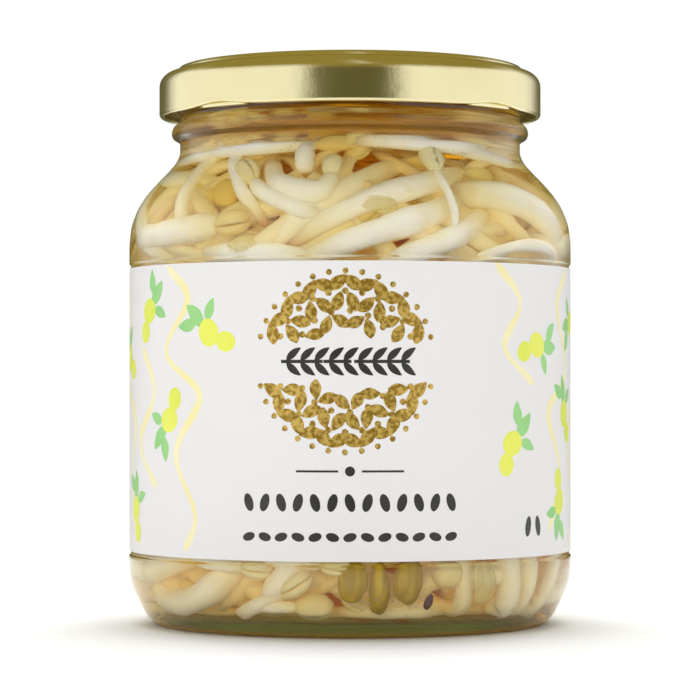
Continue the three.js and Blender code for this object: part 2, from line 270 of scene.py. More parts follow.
def glass_material():
    """Clear glass, faintly green in its depth, that bends light less where brine lies against it.

    Shadow rays pass straight through all but its underside, so that lamps light what is inside. The base is
    part covered with a stippled green that glows faintly and whose darkness is painted shade, its foot has a
    brown line of painted shade, and the lower half of the bead has amber streaks of painted light, standing
    in for brine seen through it, that show most where it is seen face on.
    """
    p = paint("clear glass")
    wet = p.node("SeparateXYZ", {}, {0: p.node("UVMap", {"uv_map": "along"})})
    here = p.node("SeparateXYZ", {}, {0: p.place()})
    x, y, height = (Value(p, here.socket.node.outputs[k]) for k in range(3))
    ripple = p.noise(28.0, 1.0) + 0.25 * p.noise(90.0, 1.0)
    ripple = ripple + 9.0 * p.noise(650.0, 1.0, p.place((0.06, 0.06, 1))) * p.between(height, 0.081, 0.087)
    notch = p.math("SINE", p.math("ARCTAN2", x, y) * 190.0) * p.between(height, 0.0004, 0.001)
    ripple = ripple + 0.2 * notch * (1 - p.between(height, 0.0012, 0.002))
    normal = p.bump(ripple, 0.00022, 0.35)
    blur = 0.16 * p.between(height, 0.084, 0.0865) * (1 - p.between(height, 0.0965, 0.0975))
    dry = p.node("BsdfGlass", {}, {"IOR": GLASS_INDEX, "Roughness": blur, "Normal": normal})
    soaked = p.node("BsdfGlass", {}, {"IOR": GLASS_INDEX / BRINE_INDEX, "Roughness": blur, "Normal": normal})
    clear = p.node("MixShader", {}, {0: p.math("GREATER_THAN", wet, 0.5), 1: dry, 2: soaked})
    shadow = p.node("LightPath", out=1)
    through = p.node("BsdfTransparent", {}, {"Color": (0.98, 0.985, 0.975, 1)})
    radius = p.node("VectorMath", {"operation": "LENGTH"}, {0: p.place((1, 1, 0))}, out=1)
    under = (1 - p.between(height, 0.0013, 0.0016)) * (1 - p.between(radius, 0.0346, 0.0352))
    surface = p.node("MixShader", {}, {0: shadow * (1 - under), 1: clear, 2: through})
    # Painted shade and glow: a stippled coat over part of the underside, green in the middle and dark brown
    # towards the edge, glowing faintly. Its darkness stands in for the shaded floor seen through the base.
    base = p.mix(p.between(radius, 0.022, 0.028), (0.35, 0.44, 0.12, 1), (0.16, 0.14, 0.035, 1))
    stipple_and_painted_shade = p.plastic({"Base Color": base, "Roughness": 0.7,
                         "Emission Color": base, "Emission Strength": 0.12})
    cover = under * (1 - shadow) * (0.5 + 0.45 * p.noise(90.0, 2.0, p.place((0.3, 0.3, 1))))
    surface = p.node("MixShader", {}, {0: cover, 1: surface, 2: stipple_and_painted_shade})
    # Painted shade: a brown line round the bottom edge of the foot, where the glass looks dark.
    painted_foot_shade = p.node("BsdfDiffuse", {}, {"Color": (0.34, 0.19, 0.035, 1)})
    line = (1 - p.between(height, 0.0006, 0.0012)) * p.between(radius, 0.0342, 0.0347) * (1 - shadow)
    surface = p.node("MixShader", {}, {0: 0.7 * line, 1: surface, 2: painted_foot_shade})
    # Painted light: amber streaks on the lower half of the bead, strongest where it faces the viewer,
    # standing in for the dark amber that light through the bead shows of the brine.
    streak = 0.35 + 0.65 * p.between(p.noise(60.0, 2.0, p.place((0.15, 0.15, 5))), 0.35, 0.6)
    ring = p.between(height, 0.0859, 0.0866) * (1 - p.between(height, 0.0880, 0.0892)) * (1 - shadow)
    face_on = 1 - p.node("LayerWeight", {}, {"Blend": 0.5}, out=1)
    amber = p.node("BsdfDiffuse", {}, {"Color": (0.42, 0.20, 0.025, 1)})
    surface = p.node("MixShader", {}, {0: 0.55 * streak * ring * face_on, 1: surface, 2: amber})
    green = p.node("VolumeAbsorption", {}, {"Color": (0.48, 0.70, 0.30, 1), "Density": 15.0})
    return p.done(surface, green)


def thread_ridges(turn, z):
    """Four ridges round the neck that climb with the turn and fade at their ends."""
    low = LUG_TOP + 0.6
    change = 0 * (turn + z)
    for start in LUG_TURNS:
        angle = (np.degrees(turn) - start + 180) % 360 - 180
        fade = ease((angle + LUG_HALF + 3) / 3) * ease((53 - angle) / 3)
        up = z - low - THREAD_RISE * angle / LID_TURN
        change = change + 1.6 * fade * ease(up / 0.4) * ease((1.6 - up) / 0.7)
    return change


NECK_STEPS = 70


def jar_glass():
    """The outer and the inner line, smoothed, turned about the axis as one closed wall.

    Only the outside, up to the top of the neck, takes the thread ridges.
    """
    outer, inner = smooth_line(OUTER_GLASS), smooth_line(INNER_GLASS)
    neck = np.stack([np.full(NECK_STEPS, NECK_R), np.linspace(91.0, 97.6, NECK_STEPS)], -1)
    below, above = outer[outer[:, 1] < 90.85], outer[outer[:, 1] > 97.7]
    rim = smooth_line([outer[-1], (28.2, 98.65), INNER_GLASS[0]], 4)
    line = np.vstack([below, neck, above[:-1], rim[:-1], inner])
    threaded = np.arange(len(line) - 2)[:, None] < len(below) + NECK_STEPS
    points, faces = turned(line, radius_change=lambda turn, z: threaded * thread_ridges(turn, z))
    inside = np.append(np.arange(len(line) - 2) > len(line) - 2 - len(inner), [False, True])
    row = np.append(np.arange((len(line) - 2) * AROUND) // AROUND, [len(line) - 2, len(line) - 1])
    wet = inside[row] & (points[:, 2] < FILL_Z)
    piece = mesh_piece("jar_glass", points, faces, np.stack([wet, wet], -1))
    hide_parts("glass_jar")
    return dress(piece, "glass_jar", "jar", glass_material())


# ---- brine --------------------------------------------------------------------------------
def brine_material():
    """Amber in its depth. Only its top surface bends light: the glass bends it at the sides."""
    p = paint("brine")
    height = p.node("SeparateXYZ", {}, {0: p.place()}, out=2)
    top = p.math("GREATER_THAN", height, (FILL_Z - 0.02) * MM)
    seen = p.math("MULTIPLY", top, 1 - p.node("LightPath", out=1))
    water = p.node("BsdfGlass", {}, {"IOR": BRINE_INDEX, "Roughness": 0.0})
    through = p.node("BsdfTransparent", {}, {"Color": (1, 1, 1, 1)})
    surface = p.node("MixShader", {}, {0: seen, 1: through, 2: water})
    amber = p.node("VolumeAbsorption", {}, {"Color": (0.95, 0.82, 0.29, 1), "Density": 110.0})
    return p.done(surface, amber)


BRINE_GAP = 0.03  # between the brine and the glass


def brine_body():
    """The inner line of the glass, drawn in a little, up to the fill height, turned about the axis."""
    inner = smooth_line(INNER_GLASS)[::-1]
    wall = inner[inner[:, 1] < FILL_Z]
    wall = np.stack([np.maximum(wall[:, 0] - BRINE_GAP, 0), wall[:, 1] + BRINE_GAP], -1)
    line = np.vstack([wall, [[MOUTH_R - BRINE_GAP, FILL_Z], [0, FILL_Z]]])
    piece = mesh_piece("brine_body", *turned(line))
    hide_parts("brine")
    return dress(piece, "brine", "jar", brine_material())


# ---- sprouts ------------------------------------------------------------------------------
FRONT_SPROUTS = [
    # turn, z, length, slope, arch, hook, radius, root, head, deep, roll
    (10, 74.6, 43, 15, -38, 0, 1.95, 4, 5, 0.4, 0),
    (62, 73.2, 42, -16, -64, 0, 2.3, 4, 4, 0, 0),
    (7, 68.9, 40, 17, -16, 0, 2.0, 4, 4, 0, 0),
    (23, 66.8, 32, 20, -12, 0, 1.9, 4, 5, 0.3, 0),
    (-10, 72.6, 42, 26, -40, 0, 2.0, 4, 5, 2.6, 0),
    (-18, 75.6, 18, -14, 60, 70, 1.9, 4, -0.5, 0.4, 10),
    (-38, 77.8, 22, 138, 14, 0, 1.3, 4, 4, 0.6, 0),
    (-18.5, 73.4, 17, 162, -20, -10, 1.4, 4, 0.2, 0.4, 30),
    (29, 73.8, 11, 98, 10, -20, 0.8, 2, 0.4, 0, 70),
    (57, 67.4, 38, 0, -70, 0, 1.2, 2, 4, 0, 0),
    (-66, 69.2, 34, 2, 6, 0, 2.1, 5, 1.2, 0, 80),
    (-27, 65.6, 32, -4, -14, 0, 1.8, 4, 4, 0.2, 0),
    (-60, 76.2, 26, 104, -70, 0, 1.6, 4, 3, 2.0, 0),
    (-80, 71.0, 34, -34, 60, 0, 1.8, 4, 4, 0.8, 0),
    (-44, 83.2, 30, 3, 0, 0, 1.9, 3, 4, 0.2, 0),
    (-74, 81.4, 26, 8, 0, 0, 1.8, 3, 4, 0.4, 0),
    (-16, 81.4, 9, 100, 0, 0, 1.7, 3, 11, 0.4, 0),
    (34, 84.2, 36, -3, 0, 0, 2.0, 3, 4, 0.2, 0),
    (58, 81.6, 28, -12, 0, 0, 1.9, 3, 4, 0.4, 0),
    (-50, 6.4, 34, 12, 90, 0, 2.3, 3, 4, 0, 0),
    (-64, 11.0, 28, 10, 30, 0, 2.1, 3, 4, 0.8, 0),
    (-19, 10.0, 13, 40, -10, 0, 1.9, 2, 4, 0.3, 0),
    (-29, 5.4, 15, 20, 10, 0, 1.3, 6, 0.5, 0.2, 70),
    (-24, 5.9, 12, 0, 0, 0, 1.2, 6, 0.6, 0.4, 20),
    (-41, 12.6, 15, -6, 0, 0, 1.4, 6, 0.6, 0.2, 80),
    (-18, 13.2, 14, -4, 0, 0, 1.3, 6, 0.6, 0.4, 60),
    (14, 5.2, 26, 2, 0, 0, 1.6, 3, 4, 2.0, 0),
    (34, 9.0, 20, 98, 20, 0, 1.6, 4, 4, 2.2, 0),
    (45, 10.4, 16, 178, 0, 0, 1.4, 6, 0.6, 1.6, 20),
    (49, 9.2, 26, 96, 50, 0, 2.2, 4, 4, 0, 0),
    (57, 9.4, 26, 84, 50, 0, 1.9, 4, 4, 0.6, 0),
    (70, 10, 28, 60, 50, 0, 1.9, 4, 4, 0.2, 0),
]
# How many, from which turn to which, lowest and highest middle, steepest slope, shallowest and deepest lie.
BANDS = [
    (12, (92, 280), (68, 82), 35, 0, 1),
    (9, (84, 280), (7, 12), 12, 0, 0.5),
    (12, (0, 360), (19, 60), 40, 0, 1),
    (5, (0, 360), (84, 86), 5, 9, 18),
]
# The same for the sprouts further in.
INNER_BANDS = [
    (66, (0, 360), (63, 74), 36, 2.6, 5),
    (46, (0, 360), (63, 74), 36, 6, 12),
    (36, (62, 268), (79, 88.5), 9, 0.5, 5),
    (34, (0, 360), (5.5, 14), 30, 3.4, 6),
    (26, (0, 360), (5, 14), 30, 6, 12),
    (44, (0, 360), (18, 62), 50, 2.6, 6),
]
GOLDEN = 0.618034
SEED = 7


def random_stream(seed):
    """Numbers from 0 to 1, each worked out from the one before."""
    state = seed
    while True:
        state = (state * 1664525 + 1013904223) & 0xFFFFFFFF
        yield state / 4294967296


def band_sprouts():
    """The rows of BANDS, each value drawn in turn from one stream."""
    stream = random_stream(SEED)
    between = lambda low, high: low + (high - low) * next(stream)
    rows = []
    for count, turns, heights, steep, shallow, deep in BANDS:
        for k in range(count):
            turn = turns[0] + (turns[1] - turns[0]) * ((k * GOLDEN) % 1)
            z = heights[0] + (heights[1] - heights[0]) * (k + next(stream)) / count
            shape = [between(38, 50), between(-steep, steep), between(-45, 45), between(-30, 30)]
            ends = [between(1.7, 2.0), 5, between(2.4, 5)]
            rows.append([turn, z, *shape, *ends, between(shallow, deep), between(0, 180)])
    return rows


def inner_sprouts():
    """The rows of INNER_BANDS, each value drawn for a whole band at once."""
    draw = np.random.default_rng(SEED)
    rows = []
    for count, turns, heights, steep, shallow, deep in INNER_BANDS:
        k = np.arange(count)
        turn = turns[0] + (turns[1] - turns[0]) * ((k * GOLDEN + draw.random()) % 1)
        z = heights[0] + (heights[1] - heights[0]) * (k + draw.random(count)) / count
        shape = [draw.uniform(26, 46, count), draw.uniform(-steep, steep, count),
                 draw.uniform(-70, 70, count), draw.uniform(-50, 50, count), draw.uniform(1.2, 1.8, count)]
        ends = [draw.uniform(0, 5, count), draw.uniform(0, 4, count), draw.uniform(shallow, deep, count)]
        rows.append(np.stack([turn, z, *shape, *ends, draw.uniform(0, 180, count)], -1))
    return np.vstack(rows)


def wall_radius(z):
    """The inside radius of the glass at a height."""
    line = np.array(INNER_GLASS[:-2])[::-1]
    return np.interp(z, line[:, 1], line[:, 0])


def kept_inside(points):
    """Points that would enter the glass or leave the brine, pressed flat just inside them."""
    z = np.clip(points[..., 2], GLASS_FLOOR + 0.15, FILL_Z - 0.15)
    share = (wall_radius(z) - 0.12) / np.maximum(np.hypot(points[..., 0], points[..., 1]), 1e-6)
    return np.concatenate([points[..., :2] * np.minimum(share, 1)[..., None], z[..., None]], -1)


GLASS_SIDE = 0.25  # between a sprout and the glass it lies against


def middle_lines(rows, steps):
    """Each sprout's middle line, walked both ways from its middle.

    The direction on the glass is its slope, plus its arch times the share of its length from the middle,
    plus its hook under the head. The distance from the glass grows towards both ends by the two dips.
    """
    turn0, z0, length, slope, arch, hook, radius, root, head, deep, _ = np.asarray(rows, float).T
    angle = lambda u: np.radians(slope + arch * (u - 0.5) + hook * ease((u - 0.75) / 0.25))
    lines = np.empty((len(turn0), steps + 1, 3))
    for sign in (-1, 1):
        turn, z = np.radians(turn0), z0.copy()
        for i in range(steps // 2 + 1):
            u = 0.5 + sign * i / steps
            if i:
                way = angle(u - sign * 0.5 / steps)
                z = z + sign * np.sin(way) * length / steps
                z = np.clip(z, GLASS_FLOOR + GLASS_SIDE + radius, FILL_Z - 0.3 - radius)
                turn = turn + sign * np.cos(way) * length / steps / wall_radius(z)
            tilt = (wall_radius(z - 1) - wall_radius(z + 1)) / 2
            inset = (GLASS_SIDE + radius + deep) * np.hypot(1, tilt)
            inset = inset + root * ease(1 - u / 0.4) + head * ease((u - 0.6) / 0.4)
            away = np.maximum(wall_radius(z) - inset, 1.5)
            lines[:, steps // 2 + sign * i] = at_turn(turn, away, z)
    return lines


def frames_of(lines):
    """At each point of each line: the way along it, the way out from the axis, and the way across."""
    along = np.gradient(lines, axis=1)
    along /= np.linalg.norm(along, axis=2, keepdims=True)
    out = lines * (1, 1, 0)
    out = out - along * (out * along).sum(2, keepdims=True)
    out /= np.linalg.norm(out, axis=2, keepdims=True) + 1e-9
    return along, out, np.cross(out, along)


STEM_AT = [0, 0.03, 0.1, 0.22, 0.4, 0.6, 0.85, 0.95, 1]
STEM_R = [0.3, 0.5, 0.72, 0.88, 0.97, 1, 0.93, 0.78, 0.55]


def stems(rows, steps, sides, draw):
    """A round section carried along each middle line, its radius from root to head waved a little."""
    lines = middle_lines(rows, steps)
    along, out, across = frames_of(lines)
    count = len(lines)
    u = np.linspace(0, 1, steps + 1)
    radius = np.interp(u, STEM_AT, STEM_R)[None, :, None] * np.asarray(rows, float)[:, 6, None, None]
    phase = draw.uniform(0, 2 * np.pi, (4, count, 1, 1))
    ring = full_turn(sides)[None, None, :]
    along_u = u[None, :, None]
    wave = 1 + 0.05 * np.sin(9 * along_u + phase[0]) + 0.035 * np.sin(23 * along_u + phase[1])
    oval = 1 + 0.07 * np.cos(2 * ring + phase[2] + 3 * along_u)
    r = (radius * wave * oval)[..., None]
    spoke = np.cos(ring)[..., None] * out[:, :, None] + np.sin(ring)[..., None] * across[:, :, None]
    points = lines[:, :, None] + r * spoke
    root_tip = lines[:, 0] - along[:, 0] * radius[:, 0]
    head_tip = lines[:, -1] + along[:, -1] * radius[:, -1]
    tips = np.stack([root_tip, head_tip], 1)
    body = points.reshape(count, -1, 3)
    each = body.shape[1] + 2
    points = kept_inside(np.concatenate([body, tips], 1))
    quads = grid_faces(steps + 1, sides)[:, ::-1]
    first = np.arange(sides)
    last = first + steps * sides
    root_cap = np.stack([first, np.roll(first, -1), np.full(sides, each - 2)], -1)
    head_cap = np.stack([np.roll(last, -1), last, np.full(sides, each - 1)], -1)
    start = (np.arange(count) * each)[:, None, None]
    caps = np.concatenate([root_cap, head_cap])
    faces = [(start + quads).reshape(-1, 4), (start + caps).reshape(-1, 3)]
    shade = np.repeat(draw.random(count), each)
    share = np.concatenate([np.repeat(u, sides), [0, 1]])
    uv = np.stack([np.tile(share, count), shade], -1)
    return points.reshape(-1, 3), faces, uv, (lines[:, -1], along[:, -1], out[:, -1], across[:, -1])


BEAN_HALF = 3.15


def seed_leaves(rows, ends, rings, sides, draw):
    """Two halves of a bean on each head: ovals with a flat inner side, opened a little at the tip."""
    point, along, out, across = ends
    roll = np.radians(np.asarray(rows, float)[:, 10])[:, None]
    apart = np.cos(roll) * out + np.sin(roll) * across
    third = np.cross(apart, along)
    count = len(point)
    size = draw.uniform(0.85, 1.12, (count, 1, 1, 1))
    v, w = np.meshgrid(np.linspace(0, np.pi, rings + 2)[1:-1], full_turn(sides), indexing="ij")
    length, fall = BEAN_HALF * np.cos(v), np.sin(v) ** 0.8
    x, y = 2.1 * fall * np.cos(w), fall * np.sin(w)
    y = np.where(y < 0, 0.2 * y, 1.5 * y)
    poles = np.array([[0, 0, BEAN_HALF], [0, 0, -BEAN_HALF]])
    local = np.concatenate([np.stack([x, y, length], -1).reshape(-1, 3), poles])
    local = local - np.stack([0 * local[:, 0], 0.02 * local[:, 2] ** 2, 0 * local[:, 0]], -1)
    points, faces = [], []
    each = len(local)
    quads = grid_faces(rings, sides)
    ring = np.arange(sides)
    last = ring + (rings - 1) * sides
    caps = np.concatenate([np.stack([np.roll(ring, -1), ring, np.full(sides, each - 2)], -1),
                           np.stack([last, np.roll(last, -1), np.full(sides, each - 1)], -1)])
    for half in (-1, 1):
        splay = draw.uniform(-1, 3, (count, 1, 1))
        lean = np.radians(splay) * half
        side = local * (1, half, 1)
        a = side[None, :, 1:2] + 0.27 * half
        b = side[None, :, 2:3] + BEAN_HALF - 0.6
        y2, z2 = a * np.cos(lean) + b * np.sin(lean), b * np.cos(lean) - a * np.sin(lean)
        place = side[None, :, :1] * third[:, None] + y2 * apart[:, None] + z2 * along[:, None]
        points.append(point[:, None] + size[:, 0] * place)
        start = (np.arange(count) * each + (len(points) - 1) * count * each)[:, None, None]
        turn = slice(None) if half == -1 else slice(None, None, -1)
        faces += [(start + quads[:, turn]).reshape(-1, 4), (start + caps[:, turn]).reshape(-1, 3)]
    beans = np.stack(points)
    low, high = beans[..., 2].min((0, 2)), beans[..., 2].max((0, 2))
    beans[..., 2] += (np.maximum(GLASS_FLOOR + 0.3 - low, 0) - np.maximum(high - FILL_Z + 0.3, 0))[:, None]
    points = kept_inside(beans).reshape(-1, 3)
    shade = np.tile(np.repeat(draw.random(count), each), 2)
    uv = np.stack([np.tile(local[:, 2] / (2 * BEAN_HALF) + 0.5, 2 * count), shade], -1)
    return points, faces, uv


# Painted glow: the flesh's emission stands in for light carried through it.
PAINTED_GLOW = 0.1  # what wet flesh passes on from light that falls on it elsewhere


def stem_flesh(name, dull, bright):
    """Wet, pale stems: creamier towards the head, brown at the root's tip, faintly spotted, and with painted
    golden shading low in the jar."""
    p = paint(name)
    uv = p.node("SeparateXYZ", {}, {0: p.node("UVMap", {"uv_map": "along"})}, out=0)
    shade = Value(p, uv.socket.node.outputs[1])
    mottle = p.noise(260.0, 3.0)
    pale = p.mix(shade, dull, bright)
    creamy = p.mix(p.between(uv, 0.72, 1.0) * 0.6, pale, (0.85, 0.73, 0.42, 1))
    brown = p.mix(1 - p.between(uv, 0.0, 0.2), creamy, (0.55, 0.36, 0.16, 1))
    flesh_tone = p.mix(p.between(mottle, 0.56, 0.75) * 0.35, brown, (0.80, 0.66, 0.40, 1))
    # Painted shade: stems low in the jar are tinted golden by height, standing in for the warm light that
    # reaches them through the brine.
    height = p.node("SeparateXYZ", {}, {0: p.place()}, out=2)
    flesh_tone = p.mix((1 - p.between(height, 0.010, 0.018)) * 0.55, flesh_tone, (0.90, 0.70, 0.34, 1))
    normal = p.bump(p.noise(900.0, 2.0) + 0.6 * mottle, 0.00012, 0.5)
    # The emission is painted glow, standing in for light carried through the wet flesh.
    return p.done(p.plastic({"Base Color": flesh_tone, "Roughness": 0.32, "Subsurface Weight": 0.35,
                             "Emission Color": flesh_tone, "Emission Strength": PAINTED_GLOW,
                             "Subsurface Radius": (0.003, 0.002, 0.001), "Subsurface Scale": 1.0,
                             "Normal": normal, "IOR": 1.4}))


def leaf_flesh():
    """The seed leaves are yellower than the stems, with a deeper rim."""
    p = paint("sprout seed leaf")
    uv = p.node("SeparateXYZ", {}, {0: p.node("UVMap", {"uv_map": "along"})}, out=0)
    shade = Value(p, uv.socket.node.outputs[1])
    base = p.mix(shade, (0.83, 0.66, 0.30, 1), (0.88, 0.79, 0.50, 1))
    rim = p.between(uv, 0.75, 1.0) * 0.5
    ruddy = p.mix(rim, base, (0.72, 0.50, 0.22, 1))
    normal = p.bump(p.noise(500.0, 3.0), 0.0002, 0.5)
    # The emission is painted glow, standing in for light carried through the wet flesh.
    return p.done(p.plastic({"Base Color": ruddy, "Roughness": 0.35, "Subsurface Weight": 0.3,
                             "Emission Color": ruddy, "Emission Strength": PAINTED_GLOW,
                             "Subsurface Radius": (0.003, 0.002, 0.0008), "Subsurface Scale": 1.0,
                             "Normal": normal, "IOR": 1.4}))


def sprout_piece(name, rows, steps, sides, rings, flesh):
    """One piece of all the rows' stems and seed leaves, in the two materials of flesh."""
    draw = np.random.default_rng(len(rows))
    points, faces, uv, ends = stems(rows, steps, sides, draw)
    heads, head_faces, head_uv = seed_leaves(rows, ends, rings, max(sides - 4, 6), draw)
    slots = np.repeat([0, 1], [sum(map(len, faces)), sum(map(len, head_faces))])
    faces += [part + len(points) for part in head_faces]
    piece = mesh_piece(name, np.vstack([points, heads]), faces, np.vstack([uv, head_uv]), slots)
    return dress(piece, "sprout_bunch", "jar", *flesh)


def sprouts():
    """Pale sprouts against the glass, and behind them ones with a painted amber, standing in for the deep
    brine that light crosses to and from them.
    """
    leaves = leaf_flesh()
    flesh = stem_flesh("sprout stem", (0.95, 0.885, 0.78, 1), (0.99, 0.95, 0.90, 1)), leaves
    # Painted light: the sprouts further in are amber, standing in for the colour that deeper brine gives the
    # light reaching them.
    deep_amber_painted = stem_flesh("stained sprout stem", (0.90, 0.74, 0.47, 1), (0.95, 0.86, 0.68, 1)), leaves
    outer = sprout_piece("sprouts_outer", [*FRONT_SPROUTS, *band_sprouts()], 40, 14, 9, flesh)
    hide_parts("sprout_bunch")
    sprout_piece("sprouts_inner", inner_sprouts(), 16, 8, 5, deep_amber_painted)


# ---- seed coats ---------------------------------------------------------------------------
# Turn, height, half width, half height and lean: the green coats, the clear ones and the dark crumb.
SEED_COATS = [(0.5, 10.2, 2.5, 3.6, 4), (7.8, 8.6, 1.7, 4.2, 0), (15.6, 10.0, 2.5, 3.7, -5)]
CLEAR_COATS = [(8, 73.4, 3.2, 1.6, -8), (-30, 66.6, 3.0, 1.7, 10), (38, 9.4, 2.4, 3.4, 15)]
FLECKS = [(21.2, 6.6, 0.75, 1.3, -12)]


def cups(rows, rings=9, sides=28, belly=1.2):
    """Thin oval cups that follow the glass: ovals in turn and height, each with a wavy rim, bellied
    towards the glass. Each is one closed skin, from its outer pole over the rim to its inner pole."""
    out = np.append(np.arange(1, rings + 1), np.arange(rings, 0, -1)) / rings
    t, w = np.meshgrid(out, full_turn(sides), indexing="ij")
    t, w = np.append(t, [0, 0]), np.append(w, [0, 0])
    skin = np.append(np.repeat([0, 0.22], rings * sides), [0, 0.22])
    turn, z0, wide, tall, lean = (part[:, None] for part in np.array(rows, float).T)
    wavy = t * (1 + 0.05 * np.cos(3 * w + turn) + 0.03 * np.cos(5 * w))
    x, y, a = wide * wavy * np.cos(w), tall * wavy * np.sin(w), np.radians(lean)
    z = z0 + y * np.cos(a) + x * np.sin(a)
    away = wall_radius(z) - 0.3 - skin - belly * t * t
    angle = np.radians(turn) + (x * np.cos(a) - y * np.sin(a)) / away
    first = np.arange(sides)
    last, pole = first + (2 * rings - 1) * sides, np.full(sides, 2 * rings * sides)
    caps = np.vstack([np.stack([first, np.roll(first, -1), pole], -1),
                      np.stack([np.roll(last, -1), last, pole + 1], -1)])
    start = (np.arange(len(rows)) * len(t))[:, None, None]
    quads = grid_faces(2 * rings, sides)[:, ::-1]
    faces = [(start + quads).reshape(-1, 4), (start + caps).reshape(-1, 3)]
    return at_turn(angle, away, z).reshape(-1, 3), faces


def coat_skin(name, thin, thick, least):
    """A thin skin with upright streaks, more see-through between them."""
    p = paint(name)
    streak = p.between(p.noise(500.0, 2.0, p.place((1, 1, 0.2))), 0.3, 0.75)
    return p.done(p.plastic({"Base Color": p.mix(streak, thick, thin), "Roughness": 0.35,
                             "Alpha": least + 0.2 * streak}))


def seed_coats():
    piece = mesh_piece("seed_coats", *cups(SEED_COATS))
    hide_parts("seed_coat_1", "seed_coat_2", "seed_coat_3")
    green = coat_skin("green seed coat", (0.74, 0.49, 0.01, 1), (0.50, 0.31, 0.004, 1), 0.74)
    dress(piece, "seed_coat", "jar", green)
    clear = coat_skin("clear seed coat", (0.92, 0.82, 0.40, 1), (0.84, 0.72, 0.30, 1), 0.25)
    dress(mesh_piece("seed_coats_clear", *cups(CLEAR_COATS, belly=0.8)), "seed_coat", "jar", clear)
    dark = coat_skin("dark seed coat", (0.16, 0.05, 0.06, 1), (0.07, 0.02, 0.02, 1), 0.8)
    dress(mesh_piece("seed_coats_dark", *cups(FLECKS, 5, 12, 0.3)), "seed_coat", "jar", dark)


BUBBLES, BUBBLE_RINGS, BUBBLE_SIDES = 70, 6, 9
# Turn and height of each cluster of bubbles.
CLUSTERS = [(26.5, 8.6), (26.5, 8.6), (15.5, 6.4), (6.5, 6.6), (-20, 83), (40, 82), (12, 84), (-50, 78)]


def bubbles():
    """Small beads of air against the glass, in clusters."""
    draw = np.random.default_rng(3)
    centre = np.array(CLUSTERS)
    near = centre[draw.integers(0, len(centre), BUBBLES)]
    turn = np.radians(near[:, 0] + draw.normal(0, 1.6, BUBBLES))[:, None, None]
    z = near[:, 1, None, None] + draw.normal(0, 1.0, (BUBBLES, 1, 1))
    size = draw.uniform(0.1, 0.26, (BUBBLES, 1, 1))
    v, w = np.meshgrid(np.linspace(0.15, np.pi - 0.15, BUBBLE_RINGS), full_turn(BUBBLE_SIDES), indexing="ij")
    z = np.clip(z, GLASS_FLOOR + 1.2, FILL_Z - 1)
    middle = at_turn(turn, wall_radius(z) - size - 0.1, z)
    ball = np.stack([np.sin(v) * np.cos(w), np.sin(v) * np.sin(w), -np.cos(v)], -1)[None]
    up = size[:, :, 0, None] * [[0, 0, 1]]
    skin = (middle + size[..., None] * ball).reshape(BUBBLES, -1, 3)
    points = np.concatenate([skin, middle[:, 0] - up, middle[:, 0] + up], 1)
    ring, last = np.arange(BUBBLE_SIDES), (BUBBLE_RINGS - 1) * BUBBLE_SIDES
    pole = 0 * ring + BUBBLE_RINGS * BUBBLE_SIDES
    caps = np.vstack([np.stack([np.roll(ring, -1), ring, pole], -1),
                      np.stack([ring + last, np.roll(ring, -1) + last, pole + 1], -1)])
    start = (np.arange(BUBBLES) * points.shape[1])[:, None, None]
    quads = grid_faces(BUBBLE_RINGS, BUBBLE_SIDES)
    faces = [(start + quads).reshape(-1, 4), (start + caps).reshape(-1, 3)]
    p = paint("air bubble")
    # Painted light: a pale middle and a golden-brown rim, set by how squarely the bubble faces the viewer,
    # stand in for the light an air bead bends and reflects.
    rim = p.between(p.node("LayerWeight", {}, {"Blend": 0.45}, out=1), 0.15, 0.75)
    pale = p.mix(rim, (1.0, 0.90, 0.62, 1), (0.62, 0.44, 0.14, 1))
    skin = p.done(p.plastic({"Base Color": pale, "Roughness": 0.08, "Alpha": 0.12 + 0.38 * rim}))
    return dress(mesh_piece("bubbles", points.reshape(-1, 3), faces), "brine", "jar", skin)


# ---- lid ----------------------------------------------------------------------------------
LID_OUTSIDE = [
    (0, 99.3), (8, 99.3), (11.0, 99.32), (12.2, 99.6), (13.2, 99.75), (26.6, 99.75), (27.6, 99.95),
    (28.3, 100.4), (29.2, LID_TOP), (30.3, LID_TOP), (30.9, 100.45), (31.25, 100.1), (31.45, 99.75),
    (31.9, 99.55), (32.7, 99.4), (33.4, 99.1), (34.05, 98.5), (34.45, 97.8), (LID_R, SKIRT_TOP),
    (LID_R, 92.1), (34.52, 91.75), (34.33, 91.5), (34.05, LID_LOW), (33.8, 91.5), (33.65, 91.8),
    (33.7, 92.15), (33.95, 92.4),
]
LID_INSIDE = [
    (34.1, 92.9), (34.3, 93.4), (LID_R - SHEET, 94.2), (LID_R - SHEET, SKIRT_TOP), (34.05, 98.0),
    (33.3, 98.8), (32.5, 99.15), (31.7, 99.3), (31.2, 99.6), (30.9, 100.1), (30.3, 100.35), (29.2, 100.36),
    (28.5, 100.1), (27.9, 99.6), (13.4, 99.5), (12.0, 99.35), (11.0, 99.1), (0, 99.08),
]


def lug_dents(turn, z):
    """Shallow hollows in the skirt where the four lugs are pressed."""
    change = 0 * (turn + z)
    for at in LUG_TURNS:
        angle = (np.degrees(turn) - at + 180) % 360 - 180
        change = change - 0.45 * np.exp(-((angle / 9) ** 2) - ((z - 92.8) / 1.5) ** 2)
    return change


def hem_lift(points):
    """How far the hem is drawn up beside each lug: most at its middle, and less with the height."""
    turn, z = np.arctan2(points[:, 0], -points[:, 1]), points[:, 2]
    lift = 0 * z
    for at in LUG_TURNS:
        angle = (np.degrees(turn) - at + 180) % 360 - 180
        lift = lift + 0.75 * np.exp(-((angle / 9) ** 2)) * (1 - ease((z - LID_LOW) / 2.2))
    return lift


